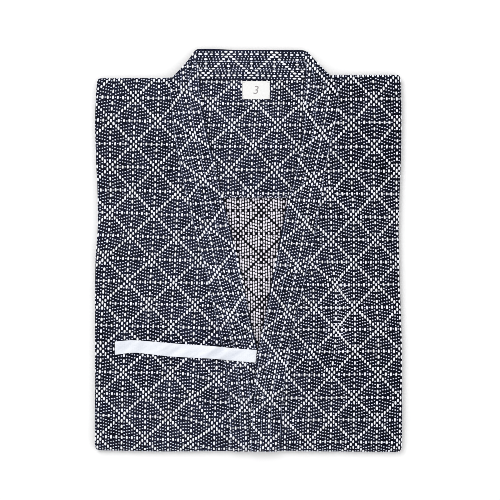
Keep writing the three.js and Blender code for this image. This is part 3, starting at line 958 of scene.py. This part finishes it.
# The collar. Round a strip, each place's share of the way across and if it is on the upper side
TOP_SHARES = [0, 0.008, 0.02, 0.04, *np.linspace(0.07, 0.93, 22), 0.96, 0.98, 0.992, 1]
UNDER_SHARES = np.linspace(0.985, 0.015, 8)
RING_SHARE = np.concatenate([TOP_SHARES, UNDER_SHARES, [0]])
RING_UPPER = np.ones(len(RING_SHARE), dtype=bool)
RING_UPPER[len(TOP_SHARES):-1] = False
RING_STEP = 2.6
STRIP_UNDER = 0.1
STITCH_STEP = 4.1
# Flat widths of the strips down the fronts and behind the neck
BAND_WIDTH, NECK_WIDTH = 61.5, 57.0
# Where the strips down the fronts end, and where the right one goes under the left front
BAND_LOW, BAND_HIGH = HEM_FLAT - 19, 366.4
CROSSING_Y = -150
# How high the rows of stitches go, the one beside the outer edge less far
STITCH_HIGH, OUTER_STITCH_HIGH = 345, 300


def sew(name, places, size, ground, surface):
    """Rows of stitches of one size, as half width, half length and height."""
    base = ground(places[:, 0], places[:, 1]) + 0.02
    sizes = np.column_stack([np.tile(size, (len(places), 1)), base])
    return joined_floats(f"{name}_stitches", "white_tape", [(BAR, places, sizes)], surface,
                         THREAD)


def front_band(side, seed):
    """The strip down a front."""
    name, sign = f"collar_{side}", SIGN[side]
    ys = spaced((BAND_LOW, HEM_FLAT, 1.6), (HEM_FLAT, NECK_BEND, 5), (NECK_BEND, BAND_HIGH, 3))
    surface = partial(lay_band, side)

    def edges(y):
        free, outer = band_sides(side, y)
        return free, np.maximum(np.abs(outer - free), 2.5)

    def across_of(x, y):
        free, width = edges(y)
        return sign * (x - free) / width, width

    def ground(x, y):
        return band_height(*across_of(x, y))

    def clear_of_left_edge(x, y, margin):
        return (x < EDGE["left"](y) + margin) | (y > CROSSING_Y) | (side == "left")

    def strip(column, row):
        y = ys[row]
        across = RING_SHARE[column]
        free, width = edges(y)
        height = np.where(RING_UPPER[column], band_height(across, width), STRIP_UNDER)
        flat = np.stack([column * RING_STEP, y], axis=-1)
        return surface(free + sign * width * across, y, height), flat

    def keep(x, y):
        across, width = across_of(x, y)
        inward = np.minimum(across, 1 - across) * width
        shown = (inward > 0.2) & (y < BAND_HIGH - 1.9) & (y > BAND_LOW + 5)
        return shown & clear_of_left_edge(x, y, 6)

    band = closed_strip(f"{name}_strip", len(RING_SHARE) - 1, len(ys) - 1, strip, INDIGO)
    finish(band, "indigo_cloth", name)
    floats = woven_floats(name, LATTICES[f"band_{side}"], keep, surface, ground,
                          (-12, 13), (-64, 160), seed)
    rng = np.random.default_rng(seed + 50)
    stitches = []
    for line in STITCH_LINES:
        y = np.arange(BAND_LOW + 6, STITCH_HIGH, STITCH_STEP)
        if line == STITCH_LINES[-1]:
            y = y[y < OUTER_STITCH_HIGH]
        x = mix(*band_sides(side, y), line) + rng.normal(0, 0.12, len(y))
        turn = np.arctan2(-np.gradient(x), np.gradient(y))
        stitches.append(np.column_stack([x, y, turn]))
    places = np.concatenate(stitches)
    places = places[clear_of_left_edge(places[:, 0], places[:, 1], 4)]
    thread = sew(name, places, (0.4, 1.95, 0.5), ground, surface)
    return band, (BAND_WIDTH, float(np.ptp(ys))), None, [floats, thread]


NECK_STITCH_ROWS = (348, 333.5)


def neck_sides(x):
    """Lower and upper edge of the strip behind the neck."""
    right, left = NECK["right"], NECK["left"]
    low_right = eased(x, right["beside"], right["between"])
    low_left = eased(x, left["beside"], left["between"])
    low = mix(SHOULDER_Y + 2.4, NECK_LOW, np.minimum(low_right, low_left))
    slope_right = (right["corner"] - x) / (right["corner"] - right["base"])
    slope_left = (x - left["corner"]) / (left["base"] - left["corner"])
    slope = np.maximum(slope_right, slope_left)
    slope = (slope + np.sqrt(slope * slope + 0.004)) / 2
    hollow = np.where(x < 0, right["dip"], left["dip"]) * slope * (1 - slope)
    top = COLLAR_TOP - 1.2 + 2.2 * eased(x, -15, -75)
    return low, mix(top, SHOULDER_Y, np.clip(slope + hollow, 0, 1))


def neck_height(x, y):
    """Height of the strip behind the neck over its underside."""
    low, high = neck_sides(x)
    width = np.maximum(high - low, 3)
    across = np.clip((y - low) / width, 0, 1)
    channel = sum(np.exp(-(((y - row) / 2) ** 2)) for row in NECK_STITCH_ROWS)
    return COLLAR * (0.5 + 0.5 * rounded_edge(across, width)) * (1.0 - 0.14 * channel)


def neck_weave(column, row):
    """The weave's columns and rows on that strip, whose threads run across it."""
    x = -36 + row * 5.25 + 0.3 * np.sin(row / 3 + column)
    return x, 361.2 - column * 4.4 + 0.4 * np.sin(row / 5) - 0.01 * x


def neck_band(seed):
    """The strip behind the neck."""
    name = "collar_back"
    xs = spaced((NECK["right"]["end"], NECK["left"]["end"], 4))

    def strip(column, row):
        x = xs[row]
        low, high = neck_sides(x)
        y = low + np.maximum(high - low, 3) * RING_SHARE[column]
        height = np.where(RING_UPPER[column], neck_height(x, y), STRIP_UNDER)
        return lay_neck(x, y, height), np.stack([column * RING_STEP, x], axis=-1)

    def keep(x, y):
        low, high = neck_sides(x)
        inside = (y > low + 1.2) & (y < high - 2.4)
        return inside & (x > EDGE["right"](y) - 12) & (x < EDGE["left"](y) + 12)

    band = closed_strip(f"{name}_strip", len(RING_SHARE) - 1, len(xs) - 1, strip, INDIGO)
    finish(band, "indigo_cloth", name)
    floats = woven_floats(name, neck_weave, keep, lay_neck, neck_height,
                          (-20, 20), (-64, 64), seed)
    rng = np.random.default_rng(seed + 50)
    x = np.arange(-90, 104, STITCH_STEP)
    places = np.concatenate([
        np.column_stack([x, y + rng.normal(0, 0.2, len(x)), np.full(len(x), math.pi / 2)])
        for y in NECK_STITCH_ROWS
    ])
    thread = sew(name, places, (0.42, 1.5, 0.5), neck_height, lay_neck)
    return band, (NECK_WIDTH, float(np.ptp(xs))), None, [floats, thread]


# The yoke and the reverse of the back panel, which show between the fronts

def between_fronts(x, y, margin):
    return (x > EDGE["right"](y) - margin) & (x < EDGE["left"](y) + margin)


YOKE_HEM, YOKE_TOP = 96.6, 318
HEM_STITCH_Y = 98.9
BEHIND_NECK = 311


def yoke(seed):
    name = "inner_yoke"
    ys = spaced((YOKE_HEM, 99, 1.2), (99, BEHIND_NECK, 5), (BEHIND_NECK, YOKE_TOP, 3.5))

    def xs(y):
        sides = (-86, 101) if y > BEHIND_NECK else (-119, 119)
        return np.linspace(*sides, 46)

    def keep(x, y):
        return between_fronts(x, y, 9) & (y > YOKE_HEM + 0.8) & (y < YOKE_TOP - 2)

    panel, size, _ = cloth_sheet(name, xs, ys, lay_yoke, INDIGO)
    floats = woven_floats(name, LATTICES["yoke"], keep, lay_yoke, sheet_top,
                          (-40, 40), (-32, 64), seed)
    rng = np.random.default_rng(seed + 50)
    x = np.arange(-58, 78, 4.67)
    places = np.column_stack([
        x + rng.normal(0, 0.4, len(x)), HEM_STITCH_Y + rng.normal(0, 0.5, len(x)),
        np.zeros(len(x)),
    ])
    sizes = np.tile((1.3, 1.05, 0.55, WALL - 0.1), (len(x), 1))
    hem = joined_floats(f"{name}_hem_stitches", "indigo_cloth", [(DOT, places, sizes)],
                        lay_yoke, DOT_WHITE)
    return panel, size, None, [floats, hem]


# Between these rows the reverse of the back shows
REVERSE_LOW, REVERSE_HIGH = -186, 104


def back_panel(seed):
    name = "back_panel"
    half = SIDE_FLAT - 0.5
    ys = spaced((HEM_FLAT, TOP_FLAT - 0.5, 8))

    def xs(y):
        return np.linspace(-half, half, 70)

    def keep(x, y):
        return between_fronts(x, y, 8) & (y > REVERSE_LOW) & (y < REVERSE_HIGH)

    panel, size, _ = cloth_sheet(name, xs, ys, lay_back, REVERSE_GROUND, "cloth_reverse")
    rng = np.random.default_rng(seed)
    beads = lattice_floats(LATTICES["reverse"], keep, (-40, 30), (-32, 64), rng, reverse=True)
    uneven = np.clip(1 + rng.normal(0, 0.08, (len(beads), 3)), 0.8, 1.2)
    sizes = np.column_stack([
        BEAD_HALF_WIDTH * uneven[:, 0], beads[:, 4] * ROW_LENGTH * uneven[:, 1],
        (BEAD_HEIGHT + FLOAT_SINK) * uneven[:, 2], np.full(len(beads), WALL - FLOAT_SINK),
    ])
    floats = joined_floats(f"{name}_beads", "cloth_reverse", [(BAR, beads[:, :3], sizes)],
                           lay_back, BEAD_WHITE)
    return panel, size, None, [floats]


# The hidden layers: sleeves folded behind and skirt folded up, which show round the edge

LAYERS = [  # low, high, inset, wander, phase
    (7.2, 10, 5.2, 1.2, 4.2), (3.7, 7.2, 4.6, 1.4, 2.1), (0, 3.7, 6.2, 2.8, 0.4),
]
PILE_CORNER = 9
# Shares of the way round at which the outline turns its corners
OUTLINE_TURNS = np.array([0, 22, 40, 62, 80]) / 80


def outline(share, inset):
    """A place on the rounded outline: share runs from the upper left corner down, along the
    bottom, up the right and back along the top."""
    half_x = HALF_WIDTH - inset
    middle_y = (SHOULDER_Y + HEM_Y) / 2
    half_y = (SHOULDER_Y - HEM_Y) / 2 - inset
    corner_x = np.interp(share, OUTLINE_TURNS, [-1, -1, 1, 1, -1])
    corner_y = np.interp(share, OUTLINE_TURNS, [1, -1, -1, 1, 1])
    x, y = corner_x * half_x, corner_y * half_y
    over_x = np.maximum(np.abs(x) - (half_x - PILE_CORNER), 0)
    over_y = np.maximum(np.abs(y) - (half_y - PILE_CORNER), 0)
    deep = np.minimum(over_x, over_y) / PILE_CORNER
    pull = 1 - 0.29 * deep
    x = np.sign(x) * (np.minimum(np.abs(x), half_x - PILE_CORNER) + over_x * pull)
    y = np.sign(y) * (np.minimum(np.abs(y), half_y - PILE_CORNER) + over_y * pull)
    return x, y + middle_y


def layer_inset(layer, share):
    """How far in a layer's fold lies, which wanders round the edge."""
    turn = 2 * math.pi * share
    wave = 0.6 * np.sin(2 * turn + layer[4]) + 0.4 * np.sin(5 * turn)
    return layer[2] + layer[3] * wave


def pile_profile(share, down):
    """Inset and height of the pile's side: down runs from 0 at the top to 3 at the floor."""
    index = np.minimum(np.floor(down).astype(int), 2)
    inside = down - index
    table = np.array(LAYERS)
    high, low = table[index, 1], table[index, 0]
    insets = np.stack([layer_inset(layer, share) for layer in LAYERS], axis=-1)
    inset = np.take_along_axis(insets, index[..., None], axis=-1)[..., 0]
    swell_out = np.sqrt(np.clip(1 - (2 * inside - 1) ** 2, 0, 1))
    groove = 0.55 * np.exp(-(((inside - 0.5) / 0.1) ** 2))
    return inset + 2.3 * (1 - swell_out) + groove, mix(high, low, inside)


def lay_pile(share, down, offset=0.0):
    inset, z = pile_profile(share, down)
    x, y = outline(share, inset - offset)
    return settle(x, y, z)


# Rings of the pile's top and underside, as insets, and the height of its top
PILE_CAPS = (60, 24, 9)
PILE_CAP_Z = 10.6


def pile(seed):
    around = 460
    downs = np.concatenate([k + (1 - np.cos(np.linspace(0, math.pi, 9))) / 2 for k in range(3)])

    def strip(column, row):
        share = (column % around) / around
        last = len(downs) - 1
        rank = row - len(PILE_CAPS)
        down = downs[np.clip(last - rank, 0, last)]
        points = lay_pile(share, np.minimum(down, 2.9999))
        for k, inset in enumerate(PILE_CAPS):
            x, y = outline(share, inset)
            under = settle(x, y, np.full_like(x, 0.0))
            points = np.where((row == k)[:, None], under, points)
            above = settle(x, y, np.full_like(x, PILE_CAP_Z))
            points = np.where((row == last + 2 * len(PILE_CAPS) - k)[:, None], above, points)
        points[:, 2] = np.maximum(points[:, 2], 0)
        return points, None

    rows = len(downs) + 2 * len(PILE_CAPS) - 1
    piece = closed_strip("folded_layers_cloth", around, rows, strip, PILE_INDIGO, PILE_UNDER)
    for face in piece.data.polygons:
        face.material_index = int(face.center.z < 0.0001)
    finish(piece, "indigo_cloth", "folded_layers")
    edge_floats(seed)


def edge_floats(seed):
    """The weave on the folds round the edge: along it at the sides, round it at the ends."""
    rng = np.random.default_rng(seed)
    girth, layer_arc = 2480.0, 5.0
    turns = OUTLINE_TURNS * girth
    long, short = [], []
    for start, end, along_edge in zip(turns[:-1], turns[1:], (True, False, True, False)):
        if along_edge:
            for line in range(6):
                column = COLUMN_FLOATS[(line * 5) % REPEAT_COLUMNS]
                for block in np.arange(start, end, REPEAT_ROWS * ROW_LENGTH):
                    for row, kind in column:
                        at = block + row * ROW_LENGTH
                        if start + 6 < at < end - 6:
                            place = (at, (line + 0.5) * layer_arc / 2, math.pi / 2)
                            (long if kind else short).append(place)
        else:
            for k, at in enumerate(np.arange(start + 8, end - 8, 4.7)):
                for line in range(3):
                    kind = (k + 2 * line) % 3 == 0
                    place = (at, (line + 0.5) * layer_arc, 0.0)
                    (long if kind else short).append(place)
    groups = []
    for pattern, places, size in ((BAR, long, (1.15, 2.2, 0.55)),
                                  (DOT, short, (1.0, 1.1, 0.45))):
        places = np.array(places) + rng.normal(0, 0.12, (len(places), 3)) * (1, 1, 0.5)
        sizes = np.tile((*size, -0.1), (len(places), 1))
        groups.append((pattern, places, sizes))

    def surface(x, y, offset):
        down = np.clip(y / layer_arc, 0.02, 2.98)
        return lay_pile((x / girth) % 1, down, offset)

    joined_floats("folded_layers_floats", "indigo_cloth", groups, surface,
                  FLOAT_WHITE, DOT_WHITE)


front_right = front_panel("right", 11)
front_left = front_panel("left", 12)
band_right = front_band("right", 21)
band_left = front_band("left", 22)
band_neck = neck_band(23)
inner_yoke = yoke(31)
back = back_panel(32)
pile(41)


# The chest tie of white tape: x and y of its middle line, and half its width
TIE_LINE = np.array([
    (-244, -179.2, 12.2), (-215, -176.4, 11.6), (-205, -176.6, 11.3), (-150, -181, 12.2),
    (-90, -185.6, 11.8), (-30, -190, 11.3), (14.6, -193.4, 11.6),
])
# Creases pressed into the tape: place along it, slant, height, reach before and behind
TIE_CREASES = (
    (30, 0.2, 1.0, 7, 3), (62, 0.9, 0.8, 4, 11), (98, -0.7, 0.6, 9, 4), (131, 1.0, 1.3, 12, 4),
    (152, 1.3, 0.9, 5, 3), (176, 1.1, 1.5, 13, 4), (203, 1.2, 1.7, 16, 4), (229, 0.9, 1.1, 8, 4),
)
TAPE_HALF, TAPE_WIDTH, TAPE_WALL = 12, 24.5, 0.9


def chest_tie():
    columns, rows = 150, 10
    reach = np.concatenate([[0], np.cumsum(np.hypot(*np.diff(TIE_LINE[:, :2], axis=0).T))])
    length = reach[-1]
    piece, column, row = new_grid("chest_tie_tape", columns, rows)
    along = np.linspace(0, 1, columns + 1)[column]
    across = row / (rows / 2) - 1
    run = along * length
    x, y, half = (np.interp(run, reach, TIE_LINE[:, k]) for k in range(3))
    y = y + across * half + 0.5 * np.sin(run / 23)
    x = x + np.where(along > 0.99, across * half * 0.12, 0)
    climb = eased(x - SEAM["right"](y), -19, -6)
    under = FRONT_Z + CLOTH + 1.2 * GAP + (COLLAR + GAP) * climb
    crease = 0
    for centre, turn, height, rise, fall in TIE_CREASES:
        past = run - centre - turn * across * TAPE_HALF
        crease = crease + height * np.exp(-((past / np.where(past < 0, rise, fall)) ** 2))
    wave = 0.25 + 0.25 * np.sin(run / 31) + 0.25 * np.sin(run / 9 + 2 * across)
    hem = 0.3 * np.exp(-(((1 - np.abs(across)) / 0.14) ** 2))
    points = settle(x, y, under + TAPE_WALL + crease + wave - hem)
    thin_cloth(piece, points, np.stack([run, across * TAPE_HALF], axis=-1), TAPE_WALL, TAPE)
    finish(piece, "white_tape", "chest_tie")
    return piece, (TAPE_WIDTH, length), None, []


# The size label, hung below the collar
LABEL_SIDES, LABEL_ENDS = (-10.6, 39.4), (278.6, 312)
LABEL_MIDDLE, LABEL_HALF_WIDTH, LABEL_HEIGHT, LABEL_WALL = 14.4, 25, 33.4, 0.45
NUMBER_Y, NUMBER_HEIGHT = 295.5, 15
LABEL_SIZE = (50, 33.5)


def label_height(x, y):
    corners = (np.abs(x - LABEL_MIDDLE) / LABEL_HALF_WIDTH) ** 4 * eased(y, 292, 278)
    hang = 0.5 * np.sin((y - LABEL_ENDS[0]) / LABEL_HEIGHT * math.pi)
    return YOKE_Z + CLOTH + GAP + 0.7 + hang - 0.35 * corners


def lay_label(x, y, offset=0.0):
    return settle(x, y, label_height(x, y) + offset)


def label_mark():
    """A plain size number, woven in grey."""
    deselect()
    bpy.ops.object.text_add()
    text = bpy.context.object
    text.data.body = "3"
    text.data.size = 1
    text.data.shear = 0.2
    text.data.extrude = 0.004
    text.data.resolution_u = 6
    bpy.ops.object.convert(target="MESH")
    piece = bpy.context.object
    piece.name = piece.data.name = "size_label_number"
    points = corners_of(piece.data)
    low, high = points.min(axis=0), points.max(axis=0)
    scale = NUMBER_HEIGHT / (high[1] - low[1])
    x = LABEL_MIDDLE + (points[:, 0] - (low[0] + high[0]) / 2) * scale
    y = NUMBER_Y + (points[:, 1] - (low[1] + high[1]) / 2) * scale
    fill(piece, lay_label(x, y, np.where(points[:, 2] > 0, 0.12, -0.1)))
    shade(piece, MARK)
    finish(piece, "label_cloth")
    return piece


def label_stitches():
    """Short bars of thread at the label's corners."""
    places = [(x, y, math.pi / 2) for x in (-8.4, -6.2, 35.0, 37.2) for y in (280.6, 309.8)]
    places += [(x, y, 0.0) for x in (-9.4, 38.2) for y in (282.4, 284.8)]
    sizes = np.tile((0.4, 1.0, 0.4, 0.0), (len(places), 1))
    return joined_floats("size_label_stitches", "label_cloth",
                         [(BAR, np.array(places), sizes)], lay_label, MARK)


def size_label():
    columns, rows = 24, 18
    piece, column, row = new_grid("size_label_cloth", columns, rows)
    x, y = mix(*LABEL_SIDES, column / columns), mix(*LABEL_ENDS, row / rows)
    thin_cloth(piece, lay_label(x, y), np.stack([x, y], axis=-1), LABEL_WALL, LABEL)
    finish(piece, "label_cloth", "size_label")
    return piece, LABEL_SIZE, None, [label_mark(), label_stitches()]


# Each sheet's cut, and what it lies on
for (piece, size, area, with_pieces), under, held in (
    (front_right, "inner_yoke", "folded"), (front_left, "front_right", "folded"),
    (inner_yoke, "back_panel", "laid"), (back, "folded_layers", "laid"),
    (band_right, "front_right", "folded"), (band_left, "front_left", "folded"),
    (band_neck, "inner_yoke", "folded"), (chest_tie(), "front_right", "laid"),
    (size_label(), "inner_yoke", "laid"),
):
    tuple(side * 0.001 for side in size)
    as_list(with_pieces)


# Floor and light

def floor():
    deselect()
    bpy.ops.mesh.primitive_plane_add(size=60, location=(0, 0, -0.0002))
    piece = bpy.context.object
    piece.name = "floor"
    material = bpy.data.materials.new("pale_floor")
    material.use_nodes = True
    shader = material.node_tree.nodes["Principled BSDF"]
    shader.inputs["Base Color"].default_value = (0.97, 0.97, 0.97, 1)
    shader.inputs["Roughness"].default_value = 0.9
    piece.data.materials.append(material)


def soft_light(name, place, size, energy):
    """A square lamp that points at the origin."""
    light = bpy.data.lights.new(name, "AREA")
    light.shape = "SQUARE"
    light.size = size
    light.energy = energy
    lamp = bpy.data.objects.new(name, light)
    lamp.location = place
    x, y, z = place
    lamp.rotation_euler = (math.atan2(math.hypot(x, y), z), 0, math.atan2(x, -y))
    bpy.context.scene.collection.objects.link(lamp)


floor()
soft_light("key", (-1.3, 1.9, 3.2), 2.2, 67)
soft_light("fill", (1.8, -0.9, 3.2), 2.6, 18)
world = bpy.data.worlds.new("studio")
world.use_nodes = True
background = world.node_tree.nodes["Background"]
background.inputs["Color"].default_value = (1, 1, 1, 1)
background.inputs["Strength"].default_value = 0.74
bpy.context.scene.world = world
bpy.context.scene.view_settings.view_transform = "Standard"
bpy.context.scene.cycles.filter_width = 0.75
